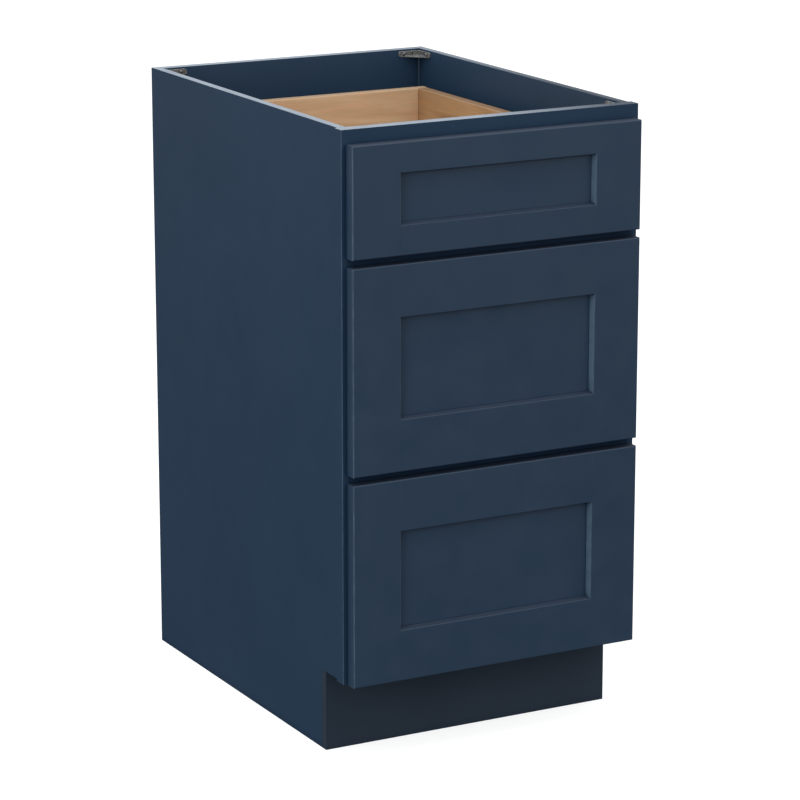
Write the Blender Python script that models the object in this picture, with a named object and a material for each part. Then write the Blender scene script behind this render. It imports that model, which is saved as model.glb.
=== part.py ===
"""Three-drawer base cabinet for a bathroom vanity, as separate pieces.

Metres, +Z up. +X is the right side seen from the front and +Y points to the wall behind. The origin is on
the floor at the middle of the whole cabinet. Each drawer's pieces hang from an empty on its front face, and
slide along -Y.
"""

from collections import namedtuple
from math import cos, pi, sin

import bmesh
import bpy

# ---------------------------------------------------------------- driving dimensions
WIDTH = 0.4572            # across the face frame
CARCASS_DEPTH = 0.6096    # face frame's front to the wall
HEIGHT = 0.8763           # floor to the rim, where a countertop rests
TOE_HEIGHT = 0.1143       # floor to the face frame's lower edge
TOE_RECESS = 0.0616       # face frame's front to the toe kick board
GAP = 0.0003              # left between two pieces that touch
CUT_MARGIN = 0.002        # how far a cutter runs past what it cuts

# ---------------------------------------------------------------- carcass
FRAME_THICKNESS = 0.01905
FRAME_MEMBER = 0.0381     # width of the frame's stiles and rails
FRAME_OVERHANG = 0.0047   # how far the frame stands out past the side panels
FRAME_ARRIS = 0.0008      # rounding down the frame's outer corners
SIDE_THICKNESS = 0.012
BACK_THICKNESS = 0.016
DECK_THICKNESS = 0.012
DADO_DEPTH = 0.004        # how far the deck is let into the side panels
TOE_THICKNESS = 0.012

# ---------------------------------------------------------------- drawer fronts
FRONT_THICKNESS = 0.0185
BUMPER_GAP = 0.0012       # between a closed drawer front and the frame
REVEAL = 0.00635          # frame left showing beside the fronts
FRONT_BASE = 0.1135       # floor to the lowest front's lower edge
FRONT_SPACING = 0.0112    # between one front and the next
TALL_FRONT = 0.2845
SHORT_FRONT = 0.152
STILE_WIDTH = 0.0715
TALL_RAIL = 0.072
SHORT_RAIL = 0.041
RECESS = 0.0095           # front face back to the panel's shoulder
SLOPE_RUN = 0.0024        # how far the members' inner edges lean in over that depth
PANEL_THICKNESS = 0.0052
GROOVE_WIDTH = PANEL_THICKNESS + 2 * GAP
GROOVE_DEPTH = 0.0075
FACE_ARRIS = 0.0013       # rounding round the outside of a front
INNER_ARRIS = 0.0007      # rounding along the recess

# ---------------------------------------------------------------- drawer boxes
BOX_HALF_WIDTH = 0.1857
BOARD = 0.0159            # thickness of the boxes' sides, fronts and backs
BOX_LENGTH = 0.5359
TALL_BOX = 0.203
SHORT_BOX = 0.1045
BOX_LIFT = 0.0061         # frame rail's upper edge to the box's lower edge
BOTTOM_SETUP = 0.0127     # box's lower edge up to its bottom panel
BOTTOM_THICKNESS = 0.006
BOTTOM_GROOVE = 0.0063
FRONT_LAP = 0.003         # wood left in front of the half-blind dovetails
TAIL_PITCH = 0.026
TAIL_ROOT = 0.28          # half width of a tail at its root, as a share of the pitch
TAIL_SLOPE = 1 / 7
BOARD_ARRIS = 0.0015

# ---------------------------------------------------------------- concealed runners
STEEL = 0.0015
RAIL_LENGTH = 0.500       # of the member fixed to the cabinet
RUNNER_FLANGE = 0.027     # its screw flange, above the drawer side's lower edge
RUNNER_DROP = 0.0018      # clearance under the drawer side
TONGUE_OUTER = 0.0187     # the tongue's two walls, in from the drawer side's outer face
TONGUE_INNER = 0.0362
TONGUE_TOP = 0.0093
TONGUE_FOOT = 0.0030
CHANNEL_OUTER = BOARD + 0.0005
CHANNEL_INNER = 0.0385
CHANNEL_FOOT = 0.0020

# ---------------------------------------------------------------- corner braces
BRACE_LEG = 0.036
BRACE_HEIGHT = 0.0085
BRACE_DROP = 0.0025       # below the rim
BRACE_FLANGE = 0.0024
BRACE_WEB = 0.0016
BRACE_WEB_LEG = 0.027
BRACE_HOLE = 0.0024       # radius of the countertop screw's hole
BRACE_BORE = 0.0019       # radius of the holes in the flanges
BRACE_BORE_DROP = 0.0040  # their centres, below the brace's upper edge
BRACE_BORE_PLACES = (0.0125, 0.0265)  # out from the corner; the outer one takes a screw

# ---------------------------------------------------------------- screw holes
SCREW_HOLE = 0.0018       # radius
SCREW_DEPTH = 0.0105      # past the seat of the screw's head
HOLE_SIDES = 10
RUNNER_SCREW_PLACES = (0.037, 0.261, 0.453)  # behind the face frame
RUNNER_SCREW_RISE = 0.017  # above the drawer side's lower edge

# ---------------------------------------------------------------- places that follow from them
FRONT_PROUD = FRONT_THICKNESS + BUMPER_GAP
FRAME_FRONT = -(CARCASS_DEPTH - FRONT_PROUD) / 2
FRAME_BACK = FRAME_FRONT + FRAME_THICKNESS
FACE = FRAME_FRONT - FRONT_PROUD
BACK = FRAME_FRONT + CARCASS_DEPTH
SIDE_OUTER = WIDTH / 2 - FRAME_OVERHANG
SIDE_INNER = SIDE_OUTER - SIDE_THICKNESS
STILE_INNER = WIDTH / 2 - FRAME_MEMBER
BACK_INNER = BACK - BACK_THICKNESS
TOE_FACE = FRAME_FRONT + TOE_RECESS
TOE_BACK = TOE_FACE + TOE_THICKNESS
DECK_TOP = TOE_HEIGHT + FRAME_MEMBER
FRONT_HALF = WIDTH / 2 - REVEAL
BOX_FRONT = FRONT_THICKNESS + GAP
BOX_BACK = BOX_FRONT + BOX_LENGTH

Drawer = namedtuple("Drawer", "name low high rail box_low box_high")
# Where a screw's head rests: its place along its axis, its other two coordinates in X, Y, Z order, and the
# way that it goes in.
Seat = namedtuple("Seat", "axis along first second into")

NAVY = ("navy_paint", (0.034, 0.056, 0.092), 0.38, 0.0)
TOE_NAVY = ("toe_kick_navy", (0.026, 0.036, 0.050), 0.55, 0.0)
MAPLE = ("maple", (0.60, 0.41, 0.24), 0.45, 0.0)
PLYWOOD = ("maple_plywood", (0.62, 0.45, 0.28), 0.50, 0.0)
ZINC = ("zinc_plated_steel", (0.62, 0.63, 0.64), 0.32, 1.0)
BRACE_GREY = ("brace_plastic", (0.20, 0.19, 0.18), 0.45, 0.0)


# ---------------------------------------------------------------- tools
def clear_scene():
    for item in list(bpy.data.objects):
        bpy.data.objects.remove(item, do_unlink=True)


def material(finish):
    name, colour, roughness, metallic = finish
    made = bpy.data.materials.get(name)
    if made is None:
        made = bpy.data.materials.new(name)
        made.use_nodes = True
        made.diffuse_color = (*colour, 1.0)
        shader = made.node_tree.nodes["Principled BSDF"]
        shader.inputs["Base Color"].default_value = (*colour, 1.0)
        shader.inputs["Roughness"].default_value = roughness
        shader.inputs["Metallic"].default_value = metallic
    return made


def point(axis, along, first, second):
    """A point at a distance along an axis, with the other two coordinates in X, Y, Z order."""
    return {"X": (along, first, second), "Y": (first, along, second), "Z": (first, second, along)}[axis]


def make_ring(shape, axis, along, outline):
    return [shape.verts.new(point(axis, along, *corner)) for corner in outline]


def loft(shape, rings):
    """Walls from each ring of corners to the next, and a cap at both ends."""
    for ring, next_ring in zip(rings, rings[1:]):
        for index, corner in enumerate(ring):
            beyond = (index + 1) % len(ring)
            shape.faces.new((corner, ring[beyond], next_ring[beyond], next_ring[index]))
    shape.faces.new(rings[0])
    shape.faces.new(rings[-1])


def make_piece(shape, name, finish, parent=None):
    bmesh.ops.recalc_face_normals(shape, faces=shape.faces)
    mesh = bpy.data.meshes.new(name)
    shape.to_mesh(mesh)
    shape.free()
    piece = bpy.data.objects.new(name, mesh)
    piece.data.materials.append(material(finish))
    piece.parent = parent
    bpy.context.scene.collection.objects.link(piece)
    return piece


def prism(name, finish, axis, outline, stations, parent=None):
    """Extrudes a flat outline along an axis, through each station in turn."""
    shape = bmesh.new()
    loft(shape, [make_ring(shape, axis, along, outline) for along in stations])
    return make_piece(shape, name, finish, parent)


def hole_cutter(name, seats, radius, depth):
    """A cutter with a round hole at each seat, to a depth past it."""
    shape = bmesh.new()
    for seat in seats:
        circle = arc((seat.first, seat.second), radius, 0, 4, HOLE_SIDES)[:-1]
        ends = [seat.along + seat.into * past for past in (-CUT_MARGIN, depth)]
        loft(shape, [make_ring(shape, seat.axis, along, circle) for along in ends])
    return make_cutter(make_piece(shape, name, ZINC))


def rectangle(low, high):
    return [(low[0], low[1]), (high[0], low[1]), (high[0], high[1]), (low[0], high[1])]


def board(name, finish, low, high, parent=None):
    """A plain board between two opposite corners."""
    return prism(name, finish, "X", rectangle(low[1:], high[1:]), (low[0], high[0]), parent)


def arc(centre, radius, start_quarter, quarters, steps=4):
    """Points round part of a circle, counted in quarter turns."""
    turns = [(start_quarter + quarters * step / steps) * pi / 2 for step in range(steps + 1)]
    return [(centre[0] + radius * cos(turn), centre[1] + radius * sin(turn)) for turn in turns]


def make_cutter(piece):
    piece.hide_render = True
    piece.display_type = "WIRE"
    return piece


def cut(piece, cutter, operation="DIFFERENCE"):
    step = piece.modifiers.new(operation.title() + " " + cutter.name, "BOOLEAN")
    step.object = cutter
    step.operation = operation
    step.solver = "EXACT"


def round_edges(piece, *roundings):
    """Rounds edges of a piece. Each rounding is a radius and a test that both ends of an edge pass."""
    mesh = piece.data
    weights = mesh.attributes.new("bevel_weight_edge", "FLOAT", "EDGE")
    step = piece.modifiers.new("Round", "BEVEL")
    step.limit_method = "WEIGHT"
    step.width = max(radius for radius, _ in roundings)
    step.segments = 2
    step.use_clamp_overlap = False
    for edge in mesh.edges:
        ends = [mesh.vertices[index].co for index in edge.vertices]
        for radius, chosen in roundings:
            if chosen(*ends):
                weights.data[edge.index].value = radius / step.width


def near(value, target):
    return abs(value - target) < GAP / 3


def cut_screw_holes(name, seats, held):
    """Screw holes through or into each of the pieces that the screws hold."""
    holes = hole_cutter(name, seats, SCREW_HOLE, SCREW_DEPTH)
    for piece in held:
        cut(bpy.data.objects[piece], holes)


# ---------------------------------------------------------------- carcass
def side_outline():
    return [
        (FRAME_BACK + GAP, TOE_HEIGHT),
        (TOE_BACK + GAP, TOE_HEIGHT),
        (TOE_BACK + GAP, 0.0),
        (BACK, 0.0),
        (BACK, HEIGHT),
        (FRAME_BACK + GAP, HEIGHT),
    ]


def make_side_panels():
    dado_low = (-SIDE_INNER - DADO_DEPTH, FRAME_BACK - CUT_MARGIN, DECK_TOP - DECK_THICKNESS - GAP)
    dado_high = (SIDE_INNER + DADO_DEPTH, BACK_INNER, DECK_TOP + GAP)
    dado = make_cutter(board("dado_cutter", NAVY, dado_low, dado_high))
    for side, sign in (("left", -1), ("right", 1)):
        faces = (sign * SIDE_INNER, sign * SIDE_OUTER)
        panel = prism(f"side_panel_{side}", NAVY, "X", side_outline(), faces)
        cut(panel, dado)


def make_back_and_deck():
    half = SIDE_INNER - GAP
    board("back_panel", NAVY, (-half, BACK_INNER, 0.0), (half, BACK, HEIGHT))
    deck_half = SIDE_INNER + DADO_DEPTH - GAP
    deck_low = (-deck_half, FRAME_BACK + GAP, DECK_TOP - DECK_THICKNESS)
    board("bottom_panel", NAVY, deck_low, (deck_half, BACK_INNER - GAP, DECK_TOP))


def make_toe_kick():
    """It laps the front edges of both side panels, and between them it reaches up to the deck."""
    between = SIDE_INNER - GAP
    shoulder = TOE_HEIGHT - GAP
    top = DECK_TOP - DECK_THICKNESS - GAP
    right_half = [(SIDE_OUTER, 0.0), (SIDE_OUTER, shoulder), (between, shoulder), (between, top)]
    left_half = [(-across, height) for across, height in reversed(right_half)]
    prism("toe_kick_board", TOE_NAVY, "Y", right_half + left_half, (TOE_FACE, TOE_BACK))


def frame_rail_places(drawers):
    """Each frame rail's name and lower edge. The middle ones are centred behind the gaps between fronts."""
    lower, middle = drawers[0].high, drawers[1].high
    shift = (FRONT_SPACING - FRAME_MEMBER) / 2
    return (
        ("bottom", TOE_HEIGHT),
        ("lower", lower + shift),
        ("upper", middle + shift),
        ("top", HEIGHT - FRAME_MEMBER),
    )


def make_face_frame(drawers):
    for side, sign in (("left", -1), ("right", 1)):
        outer, inner = sign * WIDTH / 2, sign * STILE_INNER
        low = (min(outer, inner), FRAME_FRONT, TOE_HEIGHT)
        high = (max(outer, inner), FRAME_BACK, HEIGHT)
        stile = board(f"frame_stile_{side}", NAVY, low, high)

        def outer_corner(*ends):
            return all(near(end.x, outer) and near(end.y, FRAME_FRONT) for end in ends)

        round_edges(stile, (FRAME_ARRIS, outer_corner))
    half = STILE_INNER - GAP
    for name, low in frame_rail_places(drawers):
        high = low + FRAME_MEMBER
        board(f"frame_rail_{name}", NAVY, (-half, FRAME_FRONT, low), (half, FRAME_BACK, high))


def brace_flange(name, axis, wall, inward, corner, away, top):
    """One leg of a brace: a strip with a round end, flat on a wall that faces inward along the axis."""
    radius = BRACE_HEIGHT / 2
    middle = top - radius
    outline = [(corner, middle - away * radius)]
    outline += arc((corner + away * (BRACE_LEG - radius), middle), radius, -away, 2, steps=8)
    outline += [(corner, middle + away * radius)]
    return prism(name, BRACE_GREY, axis, outline, (wall, wall + inward * BRACE_FLANGE))


def brace_web(name, corner, x_away, y_away, low):
    """The triangle between a brace's legs, and the cutter for the countertop screw's hole through it."""
    x, y = corner
    triangle = [(x, y), (x + x_away * BRACE_WEB_LEG, y), (x, y + y_away * BRACE_WEB_LEG)]
    web = prism(f"{name}_web", BRACE_GREY, "Z", triangle, (low, low + BRACE_WEB))
    centre = (x + x_away * BRACE_WEB_LEG / 3, y + y_away * BRACE_WEB_LEG / 3)
    circle = arc(centre, BRACE_HOLE, 0, 4, steps=16)[:-1]
    hole = prism(f"{name}_hole", BRACE_GREY, "Z", circle, (low - CUT_MARGIN, low + BRACE_WEB + CUT_MARGIN))
    return web, hole


def make_corner_brace(end, side, x_away, y_away):
    """A moulded angle with a triangular web, just below the rim. Returns the seats of its two screws."""
    name = f"corner_brace_{end}_{side}"
    top = HEIGHT - BRACE_DROP
    x_wall = -x_away * (SIDE_INNER - GAP)
    y_wall = BACK_INNER - GAP if y_away < 0 else FRAME_BACK + GAP
    legs = (("X", x_wall, x_away, y_wall, y_away), ("Y", y_wall, y_away, x_wall, x_away))
    brace, end_leg = (brace_flange(f"{name}_leg_{leg[0]}", *leg, top) for leg in legs)
    brace.name = name
    inside = (x_wall + x_away * BRACE_FLANGE / 2, y_wall + y_away * BRACE_FLANGE / 2)
    web, hole = brace_web(name, inside, x_away, y_away, top - BRACE_HEIGHT)
    seats = [
        Seat(axis, wall + inward * BRACE_FLANGE, corner + away * place, top - BRACE_BORE_DROP, -inward)
        for axis, wall, inward, corner, away in legs
        for place in BRACE_BORE_PLACES
    ]
    bores = hole_cutter(f"{name}_bores", seats, BRACE_BORE, BRACE_FLANGE + CUT_MARGIN)
    cut(brace, make_cutter(end_leg), "UNION")
    cut(brace, make_cutter(web), "UNION")
    cut(brace, make_cutter(hole))
    cut(brace, bores)
    return seats[len(BRACE_BORE_PLACES) - 1::len(BRACE_BORE_PLACES)]


def make_corner_braces():
    seats = []
    for end, y_away in (("front", 1), ("back", -1)):
        for side, x_away in (("left", 1), ("right", -1)):
            seats += make_corner_brace(end, side, x_away, y_away)
    held = ("side_panel_left", "side_panel_right", "back_panel", "frame_rail_top")
    cut_screw_holes("brace_screw_holes", seats, held)


# ---------------------------------------------------------------- drawer fronts
def member_section(width, grow=0.0, margin=0.0):
    """Section of a front's stile or rail: distance in from its outer edge, depth behind its face."""
    foot = width + SLOPE_RUN + grow
    floor = foot - GROOVE_DEPTH
    section = [(-margin, -margin), (width + grow, -margin)]
    if margin:
        section.append((width + grow, 0.0))
    return section + [
        (foot, RECESS + grow),
        (floor, RECESS + grow),
        (floor, RECESS + GROOVE_WIDTH - grow),
        (foot, RECESS + GROOVE_WIDTH - grow),
        (foot, FRONT_THICKNESS + margin),
        (-margin, FRONT_THICKNESS + margin),
    ]


def make_front_stile(drawer, origin, side, sign):
    height = drawer.high - drawer.low
    outline = [(sign * (FRONT_HALF - inward), depth) for inward, depth in member_section(STILE_WIDTH)]
    stations = (0.0, drawer.rail, height - drawer.rail, height)
    stile = prism(f"{drawer.name}_front_stile_{side}", NAVY, "Z", outline, stations, origin)

    def outside(a, b):
        on_face = near(a.y, 0) and near(b.y, 0)
        on_edge = near(abs(a.x), FRONT_HALF) and near(abs(b.x), FRONT_HALF)
        on_end = near(a.z, b.z) and (near(a.z, 0) or near(a.z, height))
        return on_face and (on_edge or on_end)

    def beside_panel(a, b):
        inner = FRONT_HALF - STILE_WIDTH
        on_arris = all(near(abs(end.x), inner) and near(end.y, 0) for end in (a, b))
        middle = (a.z + b.z) / 2
        return on_arris and drawer.rail < middle < height - drawer.rail

    round_edges(stile, (FACE_ARRIS, outside), (INNER_ARRIS, beside_panel))


def make_front_rail(drawer, origin, place, stile_cutters):
    height = drawer.high - drawer.low
    section = member_section(drawer.rail)
    if place == "upper":
        outline = [(depth, height - inward) for inward, depth in section]
        outer, inner = height, height - drawer.rail
    else:
        outline = [(depth, inward) for inward, depth in section]
        outer, inner = 0.0, drawer.rail
    reach = FRONT_HALF - STILE_WIDTH - SLOPE_RUN + GROOVE_DEPTH
    rail = prism(f"{drawer.name}_front_rail_{place}", NAVY, "X", outline, (-reach, reach), origin)

    def on_face_at(level):
        return lambda *ends: all(near(end.y, 0) and near(end.z, level) for end in ends)

    round_edges(rail, (FACE_ARRIS, on_face_at(outer)), (INNER_ARRIS, on_face_at(inner)))
    for cutter in stile_cutters:
        cut(rail, cutter)


def make_front_panel(drawer, origin):
    height = drawer.high - drawer.low
    play = SLOPE_RUN - GROOVE_DEPTH + 2 * GAP
    half = FRONT_HALF - STILE_WIDTH - play
    low = (-half, RECESS + GAP, drawer.rail + play)
    high = (half, RECESS + GAP + PANEL_THICKNESS, height - drawer.rail - play)
    board(f"{drawer.name}_front_panel", NAVY, low, high, origin)


def make_drawer_front(drawer, origin):
    """A five-piece front: two stiles, two rails tenoned between them, and a panel in their groove."""
    height = drawer.high - drawer.low
    ends = (-CUT_MARGIN, height + CUT_MARGIN)
    stile_cutters = []
    for side, sign in (("left", -1), ("right", 1)):
        make_front_stile(drawer, origin, side, sign)
        section = member_section(STILE_WIDTH, GAP, CUT_MARGIN)
        outline = [(sign * (FRONT_HALF - inward), depth) for inward, depth in section]
        cutter = prism(f"{drawer.name}_stile_cutter_{side}", NAVY, "Z", outline, ends, origin)
        stile_cutters.append(make_cutter(cutter))
    for place in ("lower", "upper"):
        make_front_rail(drawer, origin, place, stile_cutters)
    make_front_panel(drawer, origin)


# ---------------------------------------------------------------- drawer boxes
def tails(low, high, root, tip, grow=0.0):
    """The zigzag of dovetails at one end of a drawer side, from its lower corner up."""
    towards_tip = 1 if tip > root else -1
    count = round((high - low) / TAIL_PITCH)
    pitch = (high - low) / count
    narrow = TAIL_ROOT * pitch + grow
    wide = narrow + abs(tip - root) * TAIL_SLOPE
    root += towards_tip * grow
    tip += towards_tip * grow
    zigzag = [(root, low)]
    for number in range(count):
        middle = low + (number + 0.5) * pitch
        zigzag += [(root, middle - narrow), (tip, middle - wide)]
        zigzag += [(tip, middle + wide), (root, middle + narrow)]
    return zigzag + [(root, high)]


def box_levels(drawer):
    """Heights above the front's lower edge: the box's lower edge, its back's lower edge, and its top."""
    low = drawer.box_low - drawer.low
    return low, low + BOTTOM_SETUP + BOTTOM_THICKNESS + GAP, drawer.box_high - drawer.low


def side_board_outline(drawer, grow=0.0):
    low, back_low, high = box_levels(drawer)
    front = tails(low, high, BOX_FRONT + BOARD, BOX_FRONT + FRONT_LAP, grow)
    back = tails(back_low, high, BOX_BACK - BOARD, BOX_BACK, grow)
    return front + back[::-1] + [(BOX_BACK + grow, back_low - grow), (BOX_BACK + grow, low)]


def make_box_sides(drawer, origin, groove):
    _, _, high = box_levels(drawer)

    def along_top(a, b):
        return near(a.z, high) and near(b.z, high) and near(a.x, b.x)

    cutters = []
    for side, sign in (("left", -1), ("right", 1)):
        faces = (sign * (BOX_HALF_WIDTH - BOARD), sign * BOX_HALF_WIDTH)
        name = f"{drawer.name}_box_side_{side}"
        piece = prism(name, MAPLE, "X", side_board_outline(drawer), faces, origin)
        round_edges(piece, (BOARD_ARRIS, along_top))
        cut(piece, groove)
        reach = (sign * (BOX_HALF_WIDTH - BOARD - GAP), sign * (BOX_HALF_WIDTH + CUT_MARGIN))
        cutter = prism(f"{name}_cutter", MAPLE, "X", side_board_outline(drawer, GAP), reach, origin)
        cutters.append(make_cutter(cutter))
    return cutters


def make_box_ends(drawer, origin, groove, side_cutters):
    low, back_low, high = box_levels(drawer)

    def along_top(a, b):
        return near(a.z, high) and near(b.z, high) and near(a.y, b.y)

    for place, depth, bottom in (("front", BOX_FRONT, low), ("back", BOX_BACK - BOARD, back_low)):
        near_corner = (-BOX_HALF_WIDTH, depth, bottom)
        far_corner = (BOX_HALF_WIDTH, depth + BOARD, high)
        piece = board(f"{drawer.name}_box_{place}", MAPLE, near_corner, far_corner, origin)
        round_edges(piece, (BOARD_ARRIS, along_top))
        for cutter in side_cutters:
            cut(piece, cutter)
        if place == "front":
            cut(piece, groove)


def make_drawer_box(drawer, origin):
    """Dovetailed sides, front and back, with a bottom panel let into grooves."""
    low, _, _ = box_levels(drawer)
    bottom_low = low + BOTTOM_SETUP
    half = BOX_HALF_WIDTH - BOARD + BOTTOM_GROOVE
    front = BOX_FRONT + BOARD - BOTTOM_GROOVE
    groove_low = (-half, front, bottom_low - GAP)
    groove_high = (half, BOX_BACK + CUT_MARGIN, bottom_low + BOTTOM_THICKNESS + GAP)
    groove = make_cutter(board(f"{drawer.name}_groove_cutter", MAPLE, groove_low, groove_high, origin))
    side_cutters = make_box_sides(drawer, origin, groove)
    make_box_ends(drawer, origin, groove, side_cutters)
    panel_low = (GAP - half, front + GAP, bottom_low)
    panel_high = (half - GAP, BOX_BACK, bottom_low + BOTTOM_THICKNESS)
    board(f"{drawer.name}_box_bottom", PLYWOOD, panel_low, panel_high, origin)


# ---------------------------------------------------------------- runners
def rail_section(sign, low):
    """The fixed member: a flange on the side panel, a plate under the drawer side, and a raised tongue."""
    flange = SIDE_INNER - GAP
    outer, inner = BOX_HALF_WIDTH - TONGUE_OUTER, BOX_HALF_WIDTH - TONGUE_INNER
    plate = low - RUNNER_DROP
    corners = [
        (flange, low + RUNNER_FLANGE),
        (flange - STEEL, low + RUNNER_FLANGE),
        (flange - STEEL, plate),
        (outer, plate),
        (outer, low + TONGUE_TOP),
        (inner, low + TONGUE_TOP),
        (inner, low + TONGUE_FOOT),
        (inner + STEEL, low + TONGUE_FOOT),
        (inner + STEEL, low + TONGUE_TOP - STEEL),
        (outer - STEEL, low + TONGUE_TOP - STEEL),
        (outer - STEEL, plate - STEEL),
        (flange, plate - STEEL),
    ]
    return [(sign * across, up) for across, up in corners]


def channel_section(sign, low):
    """The moving member: a channel upside down over the tongue, flat against the drawer's bottom."""
    outer, inner = BOX_HALF_WIDTH - CHANNEL_OUTER, BOX_HALF_WIDTH - CHANNEL_INNER
    top, foot = low + BOTTOM_SETUP - GAP, low + CHANNEL_FOOT
    corners = [
        (outer, foot),
        (outer, top),
        (inner, top),
        (inner, foot),
        (inner + STEEL, foot),
        (inner + STEEL, top - STEEL),
        (outer - STEEL, top - STEEL),
        (outer - STEEL, foot),
    ]
    return [(sign * across, up) for across, up in corners]


def make_runners(drawer, origin):
    rail_ends = (FRAME_BACK + GAP, FRAME_BACK + GAP + RAIL_LENGTH)
    channel_ends = (BOX_FRONT + BOARD + GAP, BOX_BACK - BOARD)
    low, _, _ = box_levels(drawer)
    for side, sign in (("left", -1), ("right", 1)):
        section = rail_section(sign, drawer.box_low)
        prism(f"{drawer.name}_runner_rail_{side}", ZINC, "Y", section, rail_ends)
        section = channel_section(sign, low)
        prism(f"{drawer.name}_runner_channel_{side}", ZINC, "Y", section, channel_ends, origin)


def cut_runner_holes(drawers):
    seats = []
    held = ["side_panel_left", "side_panel_right"]
    for drawer in drawers:
        height = drawer.box_low + RUNNER_SCREW_RISE
        for side, sign in (("left", -1), ("right", 1)):
            flange = sign * (SIDE_INNER - GAP - STEEL)
            seats += [Seat("X", flange, FRAME_BACK + place, height, sign) for place in RUNNER_SCREW_PLACES]
            held.append(f"{drawer.name}_runner_rail_{side}")
    cut_screw_holes("runner_screw_holes", seats, held)


# ---------------------------------------------------------------- the cabinet
def plan_drawers():
    """The drawers from the floor up: where each front and box starts and ends."""
    sizes = (
        ("bottom", TALL_FRONT, TALL_RAIL, TALL_BOX),
        ("middle", TALL_FRONT, TALL_RAIL, TALL_BOX),
        ("top", SHORT_FRONT, SHORT_RAIL, SHORT_BOX),
    )
    drawers = []
    low = FRONT_BASE
    opening = TOE_HEIGHT + FRAME_MEMBER
    for name, height, rail, box_height in sizes:
        high = low + height
        box_low = opening + BOX_LIFT
        drawers.append(Drawer(name, low, high, rail, box_low, box_low + box_height))
        low = high + FRONT_SPACING
        opening = high + (FRONT_SPACING + FRAME_MEMBER) / 2
    return drawers


def make_drawer(drawer):
    origin = bpy.data.objects.new(f"{drawer.name}_drawer", None)
    origin.location = (0.0, FACE, drawer.low)
    bpy.context.scene.collection.objects.link(origin)
    make_drawer_front(drawer, origin)
    make_drawer_box(drawer, origin)
    make_runners(drawer, origin)


def main():
    clear_scene()
    drawers = plan_drawers()
    make_side_panels()
    make_back_and_deck()
    make_toe_kick()
    make_face_frame(drawers)
    make_corner_braces()
    for drawer in drawers:
        make_drawer(drawer)
    cut_runner_holes(drawers)


main()
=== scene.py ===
"""The three-drawer vanity cabinet: finishes, fasteners, paint in the joints, light and camera."""
from math import cos, pi, radians, sin

import bmesh
import bpy
from mathutils import Matrix, Vector


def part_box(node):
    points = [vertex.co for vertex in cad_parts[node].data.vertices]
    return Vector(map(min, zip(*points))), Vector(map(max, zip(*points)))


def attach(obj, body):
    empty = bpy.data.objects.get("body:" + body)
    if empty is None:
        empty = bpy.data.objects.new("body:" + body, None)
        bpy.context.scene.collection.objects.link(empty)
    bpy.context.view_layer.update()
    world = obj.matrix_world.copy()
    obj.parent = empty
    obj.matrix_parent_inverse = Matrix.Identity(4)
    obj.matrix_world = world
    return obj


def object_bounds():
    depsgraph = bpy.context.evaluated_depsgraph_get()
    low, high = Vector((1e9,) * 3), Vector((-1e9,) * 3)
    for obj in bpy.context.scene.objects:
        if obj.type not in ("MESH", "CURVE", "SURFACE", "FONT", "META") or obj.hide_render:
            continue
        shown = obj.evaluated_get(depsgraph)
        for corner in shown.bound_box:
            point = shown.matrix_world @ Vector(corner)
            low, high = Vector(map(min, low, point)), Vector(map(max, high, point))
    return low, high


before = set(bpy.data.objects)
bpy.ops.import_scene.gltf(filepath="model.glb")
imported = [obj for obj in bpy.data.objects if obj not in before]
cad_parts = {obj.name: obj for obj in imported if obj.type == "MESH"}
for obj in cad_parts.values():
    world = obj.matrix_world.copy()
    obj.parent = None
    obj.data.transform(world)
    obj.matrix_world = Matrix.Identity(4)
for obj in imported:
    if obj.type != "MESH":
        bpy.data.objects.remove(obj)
cad_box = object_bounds()

DRAWERS = ("top", "middle", "bottom")
SIDES = (("left", -1), ("right", 1))

# ---------------------------------------------------------------- camera and light
CAMERA_PLACE = (-2.2195, -4.1476, 1.6200)
CAMERA_TILT = 75.688      # degrees up from straight down
CAMERA_TURN = -28.344     # degrees about the vertical
CAMERA_LENS = 151.58      # millimetres
CAMERA_SENSOR = 36.0      # millimetres wide
CAMERA_SIGHT = 200.0      # metres
FLOOR_SIZE = 60.0
FLOOR_LIGHT = (0.40, 0.40, 0.40)
FLOOR_DARK = (0.37, 0.37, 0.37)
FLOOR_GLOW = 0.78         # lit from within, as a light table is, so that shadows stay faint
SKY_LIGHT = 1.05
SKY_DARK = 0.08           # below the horizon, seen only in reflections
SKY_FADE = (-0.12, -0.02)  # from dark to light, as the sine of the angle above the horizon
WHITE = (1.00, 1.00, 1.00)
COOL_WHITE = (0.80, 0.96, 1.00)
MIDDLE = (0.0, 0.0, 0.5)
LIGHTS = (                # name, place, aim, width and height, watts, colour
    ("overhead", (0.0, -0.2, 3.4), MIDDLE, (3.0, 3.0), 42.0, WHITE),
    ("key_left", (-3.6, -2.4, 1.4), MIDDLE, (1.4, 1.8), 50.0, COOL_WHITE),
    ("strip_left", (-3.2, 2.2, 0.8), (0.0, -0.3, 0.7), (0.9, 2.2), 7.0, WHITE),
)

# ---------------------------------------------------------------- finishes, in linear colour
NAVY_DEEP = (0.0176, 0.0390, 0.0740)
NAVY_LIGHT = (0.0214, 0.0450, 0.0830)
NAVY_TOP_SHADE = (0.0050, 0.0130, 0.0300)  # painted shade on level faces, and on faces that lean up
# lighter navy for the back corners' fillet: a painted highlight
BEAD_HIGHLIGHT_NAVY = (0.0330, 0.0580, 0.0960)
# painted shade in crevices and along inner seams
NAVY_CREVICE_SHADE = (0.0005, 0.0090, 0.0300)
# lighter corners: paint thinned by use, and a painted highlight
NAVY_WEAR_AND_HIGHLIGHT = (0.088, 0.132, 0.185)
RIM_LIGHT = (0.275, 0.325, 0.380)
RIM_DARK = (0.205, 0.240, 0.285)
RIM_SHADE = (0.055, 0.070, 0.092)  # painted shade, toward the front right corner
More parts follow.
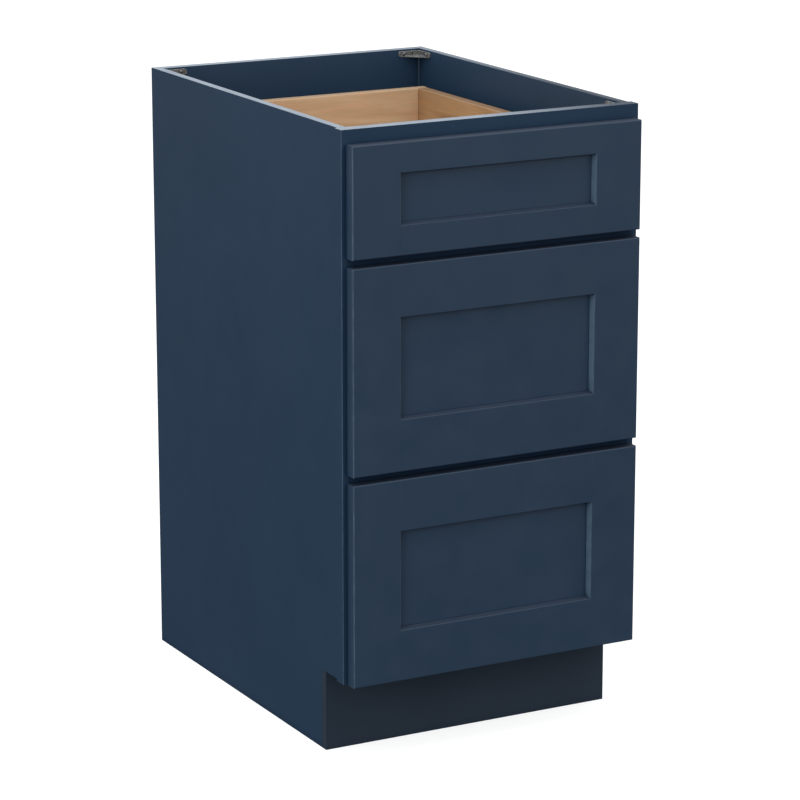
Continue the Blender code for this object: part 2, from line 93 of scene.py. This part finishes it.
# a darker, greyer copy of the navy paint: painted shade for the toe kick under the overhang
TOE_SHADE_DEEP = (0.0186, 0.0295, 0.0470)
TOE_SHADE_LIGHT = (0.0242, 0.0371, 0.0565)
MAPLE_LIGHT = (0.620, 0.470, 0.320)
MAPLE_DARK = (0.455, 0.305, 0.180)
MAPLE_BLUSH = (0.620, 0.350, 0.220)
# darker, warmer maple for the drawer boxes' sides: painted shade
MAPLE_SIDE_SHADE_LIGHT = (0.420, 0.265, 0.140)
MAPLE_SIDE_SHADE_DARK = (0.270, 0.150, 0.070)
MAPLE_SIDE_SHADE_BLUSH = (0.400, 0.200, 0.085)
MAPLE_END = (0.310, 0.195, 0.110)
TOP_EDGE_SHADE_SHARE = 0.75      # painted shade: tone of the boards' upper edges, beside that of their dark grain
PLY_LIGHT = (0.640, 0.460, 0.290)
PLY_DARK = (0.500, 0.325, 0.185)
PLY_BLUSH = (0.600, 0.370, 0.220)
ZINC_LIGHT = (0.700, 0.705, 0.710)
ZINC_DARK = (0.480, 0.490, 0.500)
DARK_ZINC_LIGHT = (0.260, 0.255, 0.250)
DARK_ZINC_DARK = (0.130, 0.130, 0.130)
PLASTIC_LIGHT = (0.135, 0.135, 0.130)
PLASTIC_DARK = (0.055, 0.057, 0.058)
BUMPER_LIGHT = (0.600, 0.610, 0.610)
BUMPER_DARK = (0.450, 0.460, 0.460)

NOISE_RANGE = (0.3, 0.7)
RIM_SHADE_X = (-0.02, 0.20)  # metres, over which the rim's painted shade deepens to the right
RIM_SHADE_Y = (0.32, -0.10)  # and to the front
WOOD_ROUNDING = 0.0005    # metres, of the edges of boards
FINE_ROUNDING = 0.0003    # and of metal and plastic
# reach of the painted edge highlight on plastic
EDGE_HIGHLIGHT_REACH = 0.0008
CREVICE_REACH = 0.026     # metres, how near a surface is to crowd in on another, for the painted crevice shade
SEAM_REACH = 0.0035
SMOOTH_LIMIT = 35         # degrees, above which an edge is drawn sharp

# ---------------------------------------------------------------- small parts, in metres
ROUND_SIDES = 24          # of screw heads and bumpers
GAP = 0.0003              # between two CAD pieces that touch
FILM_DEPTH = 0.004        # how far the paint reaches into a joint
FILM_SINK = 0.00004       # how far its skin lies under the faces beside it
SLOPE_RUN = 0.0024        # lean of the front members' inner edges
RIM_DEPTH = 0.0012        # of the pale sealed edge on the carcass's top
FACE_ARRIS = 0.0013       # rounding of the front members' outer edges
INNER_ARRIS = 0.0007      # and of their inner ones
SCREW_PROFILE = (         # radius and height, from the tip to the crown, with the head's seat at 0
    (0.0003, -0.0100), (0.0014, -0.0078), (0.0014, 0.0), (0.0027, 0.0), (0.0027, 0.0005),
    (0.0025, 0.0011), (0.0020, 0.0015), (0.0013, 0.0018), (0.0006, 0.0019),
)
SLOT_WIDTH = 0.00055      # of the cross recess in a screw's head
SLOT_LENGTH = 0.0032
SLOT_TOP = 0.0025
SLOT_BOTTOM = 0.0007
SLOT_NARROWING = 0.45     # length at the bottom, as a share of that at the top
BRACE_FLANGE = 0.0024
BRACE_SCREW_REACH = 0.0265  # out along each leg from the corner
BRACE_SCREW_DROP = 0.0040   # below the brace's upper face
RUNNER_STEEL = 0.0015
RUNNER_SCREW_PLACES = (0.0367, 0.2607, 0.4527)  # back from the rail's front end
RUNNER_SCREW_DROP = 0.0100
FRONT_SCREW_PLACES = (0.28, 0.74)  # shares of the box front's height
FRONT_SCREW_SPAN = 0.115
FRONT_SCREW_SCALE = 1.5   # beside the brace and runner screws
BEAD_WIDTH = 0.0018       # of the fillet in the back corners
BEAD_STEPS = 6
BUMPER_RADIUS = 0.004
BUMPER_PROFILE = ((1.0, 0.0), (1.0, 0.45), (0.86, 0.80), (0.55, 0.98), (0.2, 1.0))  # shares, across and up
BUMPER_INSET = 0.0162     # in from the front's outer edge
BUMPER_HEIGHT = 0.020     # in from its upper and lower edge


# ---------------------------------------------------------------- building materials
class Finish:
    """A material under construction. An input that is a socket is linked, and any other value is set."""

    def __init__(self, name, roughness=0.5, metallic=0.0, specular=0.5):
        self.material = bpy.data.materials.new(name)
        self.material.use_nodes = True
        self.tree = self.material.node_tree
        self.shader = self.tree.nodes["Principled BSDF"]
        self.shader.inputs["Roughness"].default_value = roughness
        self.shader.inputs["Metallic"].default_value = metallic
        self.shader.inputs["Specular IOR Level"].default_value = specular
        self.place = self.node("TexCoord", {}, "Object")

    def node(self, kind, inputs, output=0, **settings):
        made = self.tree.nodes.new("ShaderNode" + kind)
        for setting, value in settings.items():
            setattr(made, setting, value)
        for name, value in inputs.items():
            if isinstance(value, bpy.types.NodeSocket):
                self.tree.links.new(value, made.inputs[name])
            else:
                made.inputs[name].default_value = value
        return made.outputs[output]

    def stretched(self, scale, shift=(0.0, 0.0, 0.0)):
        return self.node("Mapping", {"Vector": self.place, "Scale": scale, "Location": shift})

    def noise(self, vector, scale, detail=3.0, distortion=0.0):
        inputs = {"Vector": vector, "Scale": scale, "Detail": detail, "Distortion": distortion}
        return self.node("TexNoise", inputs)

    def remap(self, value, start, end, low, high):
        inputs = {"Value": value, "From Min": start, "From Max": end, "To Min": low, "To Max": high}
        return self.node("MapRange", inputs)

    def spread(self, noise, low, high):
        """A noise taken from its usual range to another."""
        return self.remap(noise, *NOISE_RANGE, low, high)

    def maths(self, operation, first, second):
        return self.node("Math", {0: first, 1: second}, operation=operation)

    def blend(self, share, first, second):
        """Colour between two others, by a share from 0 to 1."""
        mixer = self.tree.nodes.new("ShaderNodeMix")
        mixer.data_type = "RGBA"
        colours = [socket for socket in mixer.inputs if socket.type == "RGBA"]
        self.tree.links.new(share, mixer.inputs[0])
        for socket, value in zip(colours, (first, second)):
            if isinstance(value, bpy.types.NodeSocket):
                self.tree.links.new(value, socket)
            else:
                socket.default_value = (*value, 1.0)
        return next(socket for socket in mixer.outputs if socket.type == "RGBA")

    def facing(self, axis):
        """How squarely the surface faces along an axis, from 0 to 1."""
        normal = self.node("NewGeometry", {}, "Normal")
        turned = self.node("VectorTransform", {"Vector": normal}, convert_to="OBJECT", vector_type="NORMAL")
        parts = self.node("SeparateXYZ", {"Vector": turned}, axis)
        return self.maths("ABSOLUTE", parts, 0.0)

    def edges(self, radius):
        """Where the surface is within a radius of a sharp edge, from 0 to 1."""
        rounded = self.node("Bevel", {"Radius": radius})
        normal = self.node("NewGeometry", {}, "Normal")
        inputs = {0: rounded, 1: normal}
        square = self.node("VectorMath", inputs, "Value", operation="DOT_PRODUCT")
        return self.remap(square, 1.0, 0.8, 0.0, 1.0)

    def arrises(self):
        """Where the surface leans away from all three axes, as a rounded corner does, from 0 to 1."""
        x, y, z = (self.facing(axis) for axis in "XYZ")
        squarest = self.maths("MAXIMUM", self.maths("MAXIMUM", x, y), z)
        return self.remap(squarest, 0.992, 0.972, 0.0, 1.0)

    def openness(self, reach):
        return self.node("AmbientOcclusion", {"Distance": reach}, "AO", samples=16)

    def crevice_shade(self):
        """Painted shade where other surfaces crowd in close, from 0 to 1. It is 0 where they cover this one
        outright.
        """
        openness = self.openness(CREVICE_REACH)
        crowded = self.remap(openness, 0.25, 0.70, 0.88, 0.0)
        return self.maths("MULTIPLY", crowded, self.remap(openness, 0.0, 0.05, 0.0, 1.0))

    def seam_shade(self):
        """Painted shade along the line where two surfaces meet in an inner corner, from 0 to 1."""
        return self.remap(self.openness(SEAM_REACH), 0.55, 0.82, 0.90, 0.0)

    def bump(self, height, depth, before=None):
        inputs = {"Height": height, "Distance": depth, "Strength": 1.0}
        if before is not None:
            inputs["Normal"] = before
        return self.node("Bump", inputs)

    def join(self, colour, roughness, normal):
        for name, value in (("Base Color", colour), ("Roughness", roughness), ("Normal", normal)):
            self.tree.links.new(value, self.shader.inputs[name])
        return self.material


def painted(finish, deep, light, worn_and_lit, dull, bright, shade):
    """Sprayed paint on timber: drifting colour, orange peel, corners lightened partly by use and partly as a
    painted highlight, a painted highlight on the recess slopes, painted shade on upward faces, and the
    painted shade passed in.
    """
    drift = finish.spread(finish.noise(finish.place, 5.0, 4.0), 0.0, 0.8)
    speckle = finish.spread(finish.noise(finish.place, 420.0, 2.0), 0.0, 0.2)
    colour = finish.blend(finish.maths("ADD", drift, speckle), deep, light)
    # Painted shade: level faces, and less so faces that lean up, are darkened.
    level_shade = finish.remap(finish.facing("Z"), 0.975, 0.995, 0.0, 0.7)
    leaning_shade = finish.remap(finish.facing("Z"), 0.30, 0.60, 0.0, 0.4)
    colour = finish.blend(finish.maths("MAXIMUM", level_shade, leaning_shade), colour, NAVY_TOP_SHADE)
    # Lighter corners, partly paint thinned by use and partly a painted highlight; the sideways recess slopes
    # get a further painted highlight, and upward faces get none.
    scuff_and_highlight = finish.remap(finish.noise(finish.place, 60.0, 5.0), 0.35, 0.65, 0.35, 0.75)
    scuff_and_highlight = finish.maths("ADD", scuff_and_highlight, finish.remap(finish.facing("X"), 0.955, 0.965, 0.0, 0.45))
    wear_and_highlight = finish.maths("MULTIPLY", finish.arrises(), scuff_and_highlight)
    wear_and_highlight = finish.maths("MULTIPLY", wear_and_highlight, finish.remap(finish.facing("Z"), 0.05, 0.35, 1.0, 0.0))
    colour = finish.blend(wear_and_highlight, colour, worn_and_lit)
    # Painted shade in crevices.
    colour = finish.blend(shade, colour, NAVY_CREVICE_SHADE)
    roughness = finish.spread(finish.noise(finish.place, 28.0, 5.0), bright, dull)
    dusty = finish.remap(finish.facing("Z"), 0.7, 0.95, 0.0, 0.75)
    roughness = finish.maths("MAXIMUM", roughness, dusty)
    timber = finish.noise(finish.stretched((260.0, 260.0, 9.0)), 1.0, 2.0)
    normal = finish.bump(timber, 0.000012)
    normal = finish.bump(finish.noise(finish.place, 900.0, 1.0), 0.000010, normal)
    return colour, roughness, normal


def navy_paint():
    finish = Finish("navy_satin", specular=0.50)
    # Painted shade in crevices and along inner seams.
    shade = finish.maths("MAXIMUM", finish.crevice_shade(), finish.seam_shade())
    return finish.join(*painted(finish, NAVY_DEEP, NAVY_LIGHT, NAVY_WEAR_AND_HIGHLIGHT, 0.40, 0.30, shade))


def beaded_navy():
    """The same paint, a shade lighter as a painted highlight, with painted shade in crevices."""
    finish = Finish("navy_bead_highlight", specular=0.50)
    return finish.join(*painted(finish, NAVY_LIGHT, BEAD_HIGHLIGHT_NAVY, BEAD_HIGHLIGHT_NAVY, 0.36, 0.28, finish.crevice_shade()))


def rimmed_navy(name, across):
    """Navy paint whose upper edge is the pale sealed edge of the sheet, with its plies running along it, and
    painted shade that darkens that edge toward the front right; painted shade in crevices.
    """
    finish = Finish(name, specular=0.12)
    shade = finish.crevice_shade()
    colour, roughness, normal = painted(finish, NAVY_DEEP, NAVY_LIGHT, NAVY_WEAR_AND_HIGHLIGHT, 0.46, 0.36, shade)
    rim_height = cad_box[1].z - RIM_DEPTH
    height = finish.node("SeparateXYZ", {"Vector": finish.place}, "Z")
    on_top = finish.maths("GREATER_THAN", height, rim_height)
    rim = finish.maths("MULTIPLY", on_top, finish.remap(finish.facing("Z"), 0.6, 0.9, 0.0, 1.0))
    stretch = {"X": (420.0, 18.0, 1.0), "Y": (18.0, 420.0, 1.0)}[across]
    plies = finish.noise(finish.stretched(stretch), 1.0, 3.0)
    sheet_edge = finish.blend(finish.spread(plies, 0.0, 1.0), RIM_DARK, RIM_LIGHT)
    # Painted shade: the pale edge darkens toward the front right corner.
    rightward = finish.node("SeparateXYZ", {"Vector": finish.place}, "X")
    rightward = finish.remap(rightward, *RIM_SHADE_X, 0.0, 1.0)
    forward = finish.node("SeparateXYZ", {"Vector": finish.place}, "Y")
    forward = finish.remap(forward, *RIM_SHADE_Y, 0.3, 1.0)
    sheet_edge = finish.blend(finish.maths("MULTIPLY", rightward, forward), sheet_edge, RIM_SHADE)
    colour = finish.blend(rim, colour, sheet_edge)
    normal = finish.bump(finish.maths("MULTIPLY", plies, rim), 0.00012, normal)
    return finish.join(colour, roughness, normal)


def toe_navy():
    # A darker, greyer navy as painted shade under the overhang, with painted shade in crevices.
    finish = Finish("toe_kick_shaded", specular=0.20)
    return finish.join(*painted(finish, TOE_SHADE_DEEP, TOE_SHADE_LIGHT, NAVY_DEEP, 0.66, 0.52, finish.crevice_shade()))


def wood(name, along, shift, light, dark, blush, ply):
    """Lacquered maple: cathedral figure, fine grain, blushed streaks, short flecks, and darker end grain."""
    finish = Finish(name, specular=0.45)
    axis = "XYZ".index(along)

    def grained(length, width):
        return tuple(length if place == axis else width for place in range(3))

    wander = finish.noise(finish.stretched(grained(2.4, 9.0), shift), 1.0, 2.0)
    figure = finish.noise(finish.stretched(grained(3.2, 34.0), shift), 1.0, 5.0, 1.4)
    streak = finish.noise(finish.stretched(grained(14.0, 120.0), shift), 1.0, 3.0, 0.6)
    line = finish.noise(finish.stretched(grained(7.0, 420.0), shift), 1.0, 3.0)
    fleck = finish.noise(finish.stretched(grained(70.0, 520.0), shift), 1.0, 2.0)
    tone = finish.remap(figure, 0.38, 0.62, 0.0, 0.62)
    tone = finish.maths("ADD", tone, finish.spread(line, 0.0, 0.22))
    tone = finish.maths("ADD", tone, finish.spread(wander, -0.12, 0.18))
    colour = finish.blend(tone, light, dark)
    colour = finish.blend(finish.remap(streak, 0.54, 0.70, 0.0, 0.60), colour, blush)
    colour = finish.blend(finish.remap(fleck, 0.62, 0.74, 0.0, 0.45), colour, dark)
    end = finish.remap(finish.facing(along), 0.75, 0.95, 0.0, 0.0 if ply else 0.75)
    colour = finish.blend(end, colour, MAPLE_END)
    # Painted shade on the boards' level faces, their upper and lower edges; none on the plywood.
    top_edge_shade = finish.remap(finish.facing("Z"), 0.3, 0.9, 0.0, 0.0 if ply else 0.9)
    colour = finish.blend(top_edge_shade, colour, tuple(TOP_EDGE_SHADE_SHARE * value for value in dark))
    roughness = finish.spread(line, 0.36, 0.50)
    rounded = finish.node("Bevel", {"Radius": WOOD_ROUNDING})
    normal = finish.bump(line, 0.00003, rounded)
    return finish.join(colour, roughness, finish.bump(fleck, 0.00002, normal))


def plated(name, dark, light):
    """Zinc plating: a soft spangle, rolling lines along the member, and a little dulling."""
    finish = Finish(name, metallic=1.0)
    spangle = finish.node("TexVoronoi", {"Vector": finish.place, "Scale": 240.0}, "Color")
    spangle = finish.node("SeparateColor", {"Color": spangle})
    cloud = finish.noise(finish.place, 35.0, 5.0)
    tone = finish.maths("ADD", finish.spread(cloud, 0.0, 0.7), finish.maths("MULTIPLY", spangle, 0.3))
    colour = finish.blend(tone, dark, light)
    rolled = finish.noise(finish.stretched((1600.0, 12.0, 1600.0)), 1.0, 2.0)
    roughness = finish.spread(cloud, 0.26, 0.40)
    roughness = finish.maths("ADD", roughness, finish.maths("MULTIPLY", rolled, 0.06))
    rounded = finish.node("Bevel", {"Radius": FINE_ROUNDING})
    return finish.join(colour, roughness, finish.bump(rolled, 0.00001, rounded))


def moulded(name, dark, light):
    """Moulded plastic: fine spark texture, faint flow marks, and a painted highlight along the edges."""
    finish = Finish(name, specular=0.5)
    flow = finish.noise(finish.place, 90.0, 4.0, 0.8)
    colour = finish.blend(finish.spread(flow, 0.0, 1.0), dark, light)
    # Painted highlight: edges lightened toward white.
    edge_highlight = finish.maths("MULTIPLY", finish.edges(EDGE_HIGHLIGHT_REACH), 0.95)
    colour = finish.blend(edge_highlight, colour, tuple(min(1.0, 4.4 * value) for value in light))
    spark = finish.noise(finish.place, 2600.0, 2.0)
    roughness = finish.spread(spark, 0.30, 0.44)
    rounded = finish.node("Bevel", {"Radius": FINE_ROUNDING})
    return finish.join(colour, roughness, finish.bump(spark, 0.00001, rounded))


looks = {
    "navy": navy_paint(),
    "navy_bead_highlight": beaded_navy(),
    "navy_rim_across_x": rimmed_navy("navy_rim_across_x", "X"),
    "navy_rim_across_y": rimmed_navy("navy_rim_across_y", "Y"),
    "toe": toe_navy(),
    "steel": plated("bright_zinc", ZINC_DARK, ZINC_LIGHT),
    "dark_steel": plated("dark_zinc", DARK_ZINC_DARK, DARK_ZINC_LIGHT),
    "plastic": moulded("brace_plastic_look", PLASTIC_DARK, PLASTIC_LIGHT),
    "bumper": moulded("bumper_look", BUMPER_DARK, BUMPER_LIGHT),
}


# ---------------------------------------------------------------- finishing the CAD nodes
def dress(node, material):
    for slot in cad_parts[node].material_slots:
        slot.material = material


def dress_carcass():
    for node in ("side_panel_left", "side_panel_right"):
        dress(node, looks["navy_rim_across_x"])
    members = ("stile_left", "stile_right", "rail_top", "rail_upper", "rail_lower", "rail_bottom")
    for node in ("back_panel", *(f"frame_{member}" for member in members)):
        dress(node, looks["navy_rim_across_y"])
    dress("bottom_panel", looks["navy"])
    dress("toe_kick_board", looks["toe"])
    for end in ("front", "back"):
        for side, _ in SIDES:
            dress(f"corner_brace_{end}_{side}", looks["plastic"])


def dress_drawer(number, name):
    for member in ("stile_left", "stile_right", "rail_upper", "rail_lower", "panel"):
        dress(f"{name}_front_{member}", looks["navy"])
    pale = (MAPLE_LIGHT, MAPLE_DARK, MAPLE_BLUSH)
    shaded_sides = (MAPLE_SIDE_SHADE_LIGHT, MAPLE_SIDE_SHADE_DARK, MAPLE_SIDE_SHADE_BLUSH)
    ply = (PLY_LIGHT, PLY_DARK, PLY_BLUSH)
    # The box sides take the darker maple as painted shade.
    boards = (("side_left", "Y", shaded_sides), ("side_right", "Y", shaded_sides), ("front", "X", pale), ("back", "X", pale))
    for place, (board, along, tones) in enumerate(boards):
        shift = (3.7 * number + 1.3 * place, 2.9 * place + 0.7 * number, 5.1 * place + 1.9 * number)
        dress(f"{name}_box_{board}", wood(f"maple_{name}_{board}", along, shift, *tones, False))
    shift = (9.3 * number, 4.1, 2.7 * number)
    dress(f"{name}_box_bottom", wood(f"maple_plywood_{name}", "Y", shift, *ply, True))
    for side, _ in SIDES:
        dress(f"{name}_runner_rail_{side}", looks["steel"])
        dress(f"{name}_runner_channel_{side}", looks["steel"])


# ---------------------------------------------------------------- shapes
def solid_from(shape, name):
    bmesh.ops.recalc_face_normals(shape, faces=shape.faces)
    mesh = bpy.data.meshes.new(name)
    shape.to_mesh(mesh)
    shape.free()
    mesh.shade_smooth()
    mesh.set_sharp_from_angle(angle=radians(SMOOTH_LIMIT))
    piece = bpy.data.objects.new(name, mesh)
    bpy.context.scene.collection.objects.link(piece)
    return piece


def loft(shape, rings):
    """Walls from each ring of points to the next, and a cap at both ends."""
    rings = [[shape.verts.new(corner) for corner in ring] for ring in rings]
    for ring, following in zip(rings, rings[1:]):
        for index, corner in enumerate(ring):
            beyond = (index + 1) % len(ring)
            shape.faces.new((corner, ring[beyond], following[beyond], following[index]))
    shape.faces.new(rings[0])
    shape.faces.new(rings[-1])


def circle(radius, height):
    turns = [2 * pi * step / ROUND_SIDES for step in range(ROUND_SIDES)]
    return [(radius * cos(turn), radius * sin(turn), height) for turn in turns]


def slot_rings():
    """One arm of a screw's recess along X, shorter at the bottom, as rings for a loft."""
    rings = []
    for share, height in ((1.0, SLOT_TOP), (SLOT_NARROWING, SLOT_BOTTOM)):
        x, y = SLOT_LENGTH / 2 * share, SLOT_WIDTH / 2
        rings.append([(-x, -y, height), (x, -y, height), (x, y, height), (-x, y, height)])
    return rings


def screw_mesh():
    """A pan-head screw along +Z, its head's seat at the origin, with a cross recess in the head."""
    shape = bmesh.new()
    loft(shape, [circle(radius, height) for radius, height in SCREW_PROFILE])
    head = solid_from(shape, "screw_pattern")
    shape = bmesh.new()
    loft(shape, slot_rings())
    first = solid_from(shape, "recess_first")
    second = bpy.data.objects.new("recess_second", first.data)
    second.rotation_euler.z = pi / 2
    bpy.context.scene.collection.objects.link(second)
    for cutter in (first, second):
        step = head.modifiers.new(cutter.name, "BOOLEAN")
        step.object = cutter
        step.solver = "EXACT"
    bpy.context.view_layer.update()
    graph = bpy.context.evaluated_depsgraph_get()
    made = bpy.data.meshes.new_from_object(head.evaluated_get(graph))
    for helper in (head, first, second):
        bpy.data.objects.remove(helper)
    return made


def copies(name, mesh, places, body, look):
    """One piece from a mesh repeated at each place."""
    shape = bmesh.new()
    for place in places:
        repeated = mesh.copy()
        repeated.transform(place)
        shape.from_mesh(repeated)
        bpy.data.meshes.remove(repeated)
    ride(solid_from(shape, name), body, look)


def ride(piece, body, look):
    piece.data.materials.clear()
    piece.data.materials.append(looks[look])
    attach(piece, body)


def pointing(place, direction, scale=1.0):
    """Turns a part that stands along +Z to a direction, and sets it at a place."""
    turn = Vector(direction).to_track_quat("Z", "Y").to_matrix().to_4x4()
    return Matrix.Translation(place) @ turn @ Matrix.Scale(scale, 4)


# ---------------------------------------------------------------- screws
def brace_screws(mesh):
    """One in each leg's outer hole, through the brace into the wall behind it."""
    places = []
    for end in ("front", "back"):
        for side, sign in SIDES:
            low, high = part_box(f"corner_brace_{end}_{side}")
            x_wall, x_in = (low.x, 1) if sign < 0 else (high.x, -1)
            y_wall, y_in = (low.y, 1) if end == "front" else (high.y, -1)
            z = high.z - BRACE_SCREW_DROP
            on_side = (x_wall + x_in * BRACE_FLANGE, y_wall + y_in * BRACE_SCREW_REACH, z)
            on_end = (x_wall + x_in * BRACE_SCREW_REACH, y_wall + y_in * BRACE_FLANGE, z)
            places.append(pointing(on_side, (x_in, 0, 0)))
            places.append(pointing(on_end, (0, y_in, 0)))
    copies("brace_screws", mesh, places, "carcass", "dark_steel")


def runner_screws(mesh):
    places = []
    for drawer in DRAWERS:
        for side, sign in SIDES:
            low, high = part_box(f"{drawer}_runner_rail_{side}")
            x = (high.x - RUNNER_STEEL) if sign > 0 else (low.x + RUNNER_STEEL)
            for along in RUNNER_SCREW_PLACES:
                seat = (x, low.y + along, high.z - RUNNER_SCREW_DROP)
                places.append(pointing(seat, (-sign, 0, 0)))
    copies("runner_screws", mesh, places, "carcass", "steel")


def front_screws(drawer, mesh):
    """Four screws from inside the box that hold the drawer front on."""
    low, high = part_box(f"{drawer}_box_front")
    places = []
    for share in FRONT_SCREW_PLACES:
        height = low.z + share * (high.z - low.z)
        for sign in (-1, 1):
            seat = (sign * FRONT_SCREW_SPAN, high.y, height)
            places.append(pointing(seat, (0, 1, 0), FRONT_SCREW_SCALE))
    copies(f"{drawer}_front_screws", mesh, places, f"{drawer}_drawer", "steel")


# ---------------------------------------------------------------- paint over the joints
def film(shape, x_low, x_high, outline):
    """A thin body of paint in a joint, from an outline in Y and Z."""
    loft(shape, [[(x, y, z) for y, z in outline] for x in (x_low, x_high)])


def front_film_outline(face, outer, inward, width):
    """The joint's section just under the painted surface, with the members' rounded arrises."""
    points = (
        (FILM_SINK, FACE_ARRIS),
        (0.3 * FACE_ARRIS + FILM_SINK, 0.3 * FACE_ARRIS + FILM_SINK),
        (FACE_ARRIS, FILM_SINK),
        (FILM_DEPTH, FILM_SINK),
        (FILM_DEPTH, width - FILM_SINK),
        (INNER_ARRIS, width - FILM_SINK),
        (FILM_SINK, width - INNER_ARRIS),
    )
    return [(face + depth, outer + inward * reach) for depth, reach in points]


def front_joint_paint(drawer):
    """The paint that closes the four joints between a front's stiles and rails."""
    shape = bmesh.new()
    for place, inward in (("upper", -1), ("lower", 1)):
        rail_low, rail_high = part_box(f"{drawer}_front_rail_{place}")
        outer = rail_high.z if inward < 0 else rail_low.z
        width = rail_high.z - rail_low.z - SLOPE_RUN
        outline = front_film_outline(rail_low.y, outer, inward, width)
        for side, sign in SIDES:
            stile_low, stile_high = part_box(f"{drawer}_front_stile_{side}")
            foot = stile_high.x if sign < 0 else stile_low.x
            edge = foot + sign * SLOPE_RUN
            film(shape, edge, edge - sign * GAP, outline)
    ride(solid_from(shape, f"{drawer}_front_joint_paint"), f"{drawer}_drawer", "navy")


def frame_joint_paint():
    """The same for the joints between the face frame's stiles and rails."""
    shape = bmesh.new()
    for rail in ("top", "upper", "lower", "bottom"):
        low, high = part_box(f"frame_rail_{rail}")
        y_low, y_high = low.y + FILM_SINK, high.y - FILM_SINK
        z_low, z_high = low.z + FILM_SINK, high.z - FILM_SINK
        outline = [(y_low, z_low), (y_high, z_low), (y_high, z_high), (y_low, z_high)]
        film(shape, low.x - GAP, low.x, outline)
        film(shape, high.x, high.x + GAP, outline)
    ride(solid_from(shape, "frame_joint_paint"), "carcass", "navy_rim_across_y")


def corner_beads():
    """A thin fillet of paint and filler up each inner corner at the back, from the deck to the brace,
    painted lighter as a highlight.
    """
    shape = bmesh.new()
    for side, sign in SIDES:
        brace_low, brace_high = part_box(f"corner_brace_back_{side}")
        x_wall = brace_high.x if sign > 0 else brace_low.x
        floor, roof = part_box("bottom_panel")[1].z, brace_low.z
        turns = [pi / 2 * step / BEAD_STEPS for step in range(BEAD_STEPS + 1)]
        hollow = [(BEAD_WIDTH * (1 - sin(turn)), BEAD_WIDTH * (1 - cos(turn))) for turn in turns]
        outline = [(0.0, 0.0)] + hollow
        rings = [
            [(x_wall - sign * across, brace_high.y - depth, z) for across, depth in outline]
            for z in (floor + GAP, roof - GAP)
        ]
        loft(shape, rings)
    ride(solid_from(shape, "back_corner_beads"), "carcass", "navy_bead_highlight")


# ---------------------------------------------------------------- bumpers
def bumper_mesh(thickness):
    shape = bmesh.new()
    loft(shape, [circle(BUMPER_RADIUS * across, thickness * up) for across, up in BUMPER_PROFILE])
    pattern = solid_from(shape, "bumper_pattern")
    mesh = pattern.data
    bpy.data.objects.remove(pattern)
    return mesh


def bumpers(drawer):
    """Soft dots between the drawer front's back corners and the face frame."""
    frame_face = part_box("frame_stile_left")[0].y
    low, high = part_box(f"{drawer}_front_stile_left")
    mesh = bumper_mesh(frame_face - high.y - FILM_SINK)
    places = []
    for height in (low.z + BUMPER_HEIGHT, high.z - BUMPER_HEIGHT):
        for sign in (-1, 1):
            seat = (sign * (abs(low.x) - BUMPER_INSET), high.y, height)
            places.append(pointing(seat, (0, 1, 0)))
    copies(f"{drawer}_bumpers", mesh, places, f"{drawer}_drawer", "bumper")


# ---------------------------------------------------------------- floor, light and camera
def make_floor():
    shape = bmesh.new()
    bmesh.ops.create_grid(shape, x_segments=2, y_segments=2, size=FLOOR_SIZE / 2)
    piece = solid_from(shape, "floor")
    finish = Finish("floor", roughness=0.9, specular=0.1)
    cloud = finish.noise(finish.place, 1.5, 3.0)
    colour = finish.blend(cloud, FLOOR_DARK, FLOOR_LIGHT)
    finish.tree.links.new(colour, finish.shader.inputs["Base Color"])
    finish.shader.inputs["Emission Color"].default_value = (1.0, 1.0, 1.0, 1.0)
    finish.shader.inputs["Emission Strength"].default_value = FLOOR_GLOW
    piece.data.materials.append(finish.material)
    piece.visible_diffuse = False
    piece.visible_glossy = False


def make_sky():
    """White above the horizon and dark below it, where only reflections look."""
    world = bpy.data.worlds.new("studio")
    bpy.context.scene.world = world
    world.use_nodes = True
    tree = world.node_tree
    direction = tree.nodes.new("ShaderNodeTexCoord")
    height = tree.nodes.new("ShaderNodeSeparateXYZ")
    fade = tree.nodes.new("ShaderNodeMapRange")
    span = {"From Min": SKY_FADE[0], "From Max": SKY_FADE[1], "To Min": SKY_DARK, "To Max": SKY_LIGHT}
    for name, value in span.items():
        fade.inputs[name].default_value = value
    tree.nodes["Background"].inputs["Color"].default_value = (1.0, 1.0, 1.0, 1.0)
    tree.links.new(direction.outputs["Generated"], height.inputs["Vector"])
    tree.links.new(height.outputs["Z"], fade.inputs["Value"])
    tree.links.new(fade.outputs["Result"], tree.nodes["Background"].inputs["Strength"])


def softbox(name, place, aim, size, power, colour):
    light = bpy.data.lights.new(name, "AREA")
    light.shape = "RECTANGLE"
    light.size, light.size_y = size
    light.energy = power
    light.color = colour
    lamp = bpy.data.objects.new(name, light)
    lamp.location = place
    lamp.rotation_euler = (Vector(aim) - Vector(place)).to_track_quat("-Z", "Y").to_euler()
    bpy.context.scene.collection.objects.link(lamp)


def make_camera():
    data = bpy.data.cameras.new("camera")
    data.lens = CAMERA_LENS
    data.sensor_width = CAMERA_SENSOR
    data.clip_end = CAMERA_SIGHT
    camera = bpy.data.objects.new("camera", data)
    camera.location = CAMERA_PLACE
    camera.rotation_euler = (radians(CAMERA_TILT), 0.0, radians(CAMERA_TURN))
    bpy.context.scene.collection.objects.link(camera)
    bpy.context.scene.camera = camera


def main():
    bpy.context.scene.view_settings.view_transform = "Standard"
    dress_carcass()
    frame_joint_paint()
    corner_beads()
    screw = screw_mesh()
    brace_screws(screw)
    runner_screws(screw)
    for number, drawer in enumerate(DRAWERS):
        dress_drawer(number, drawer)
        front_screws(drawer, screw)
        front_joint_paint(drawer)
        bumpers(drawer)
    make_floor()
    make_sky()
    for light in LIGHTS:
        softbox(*light)
    make_camera()


main()
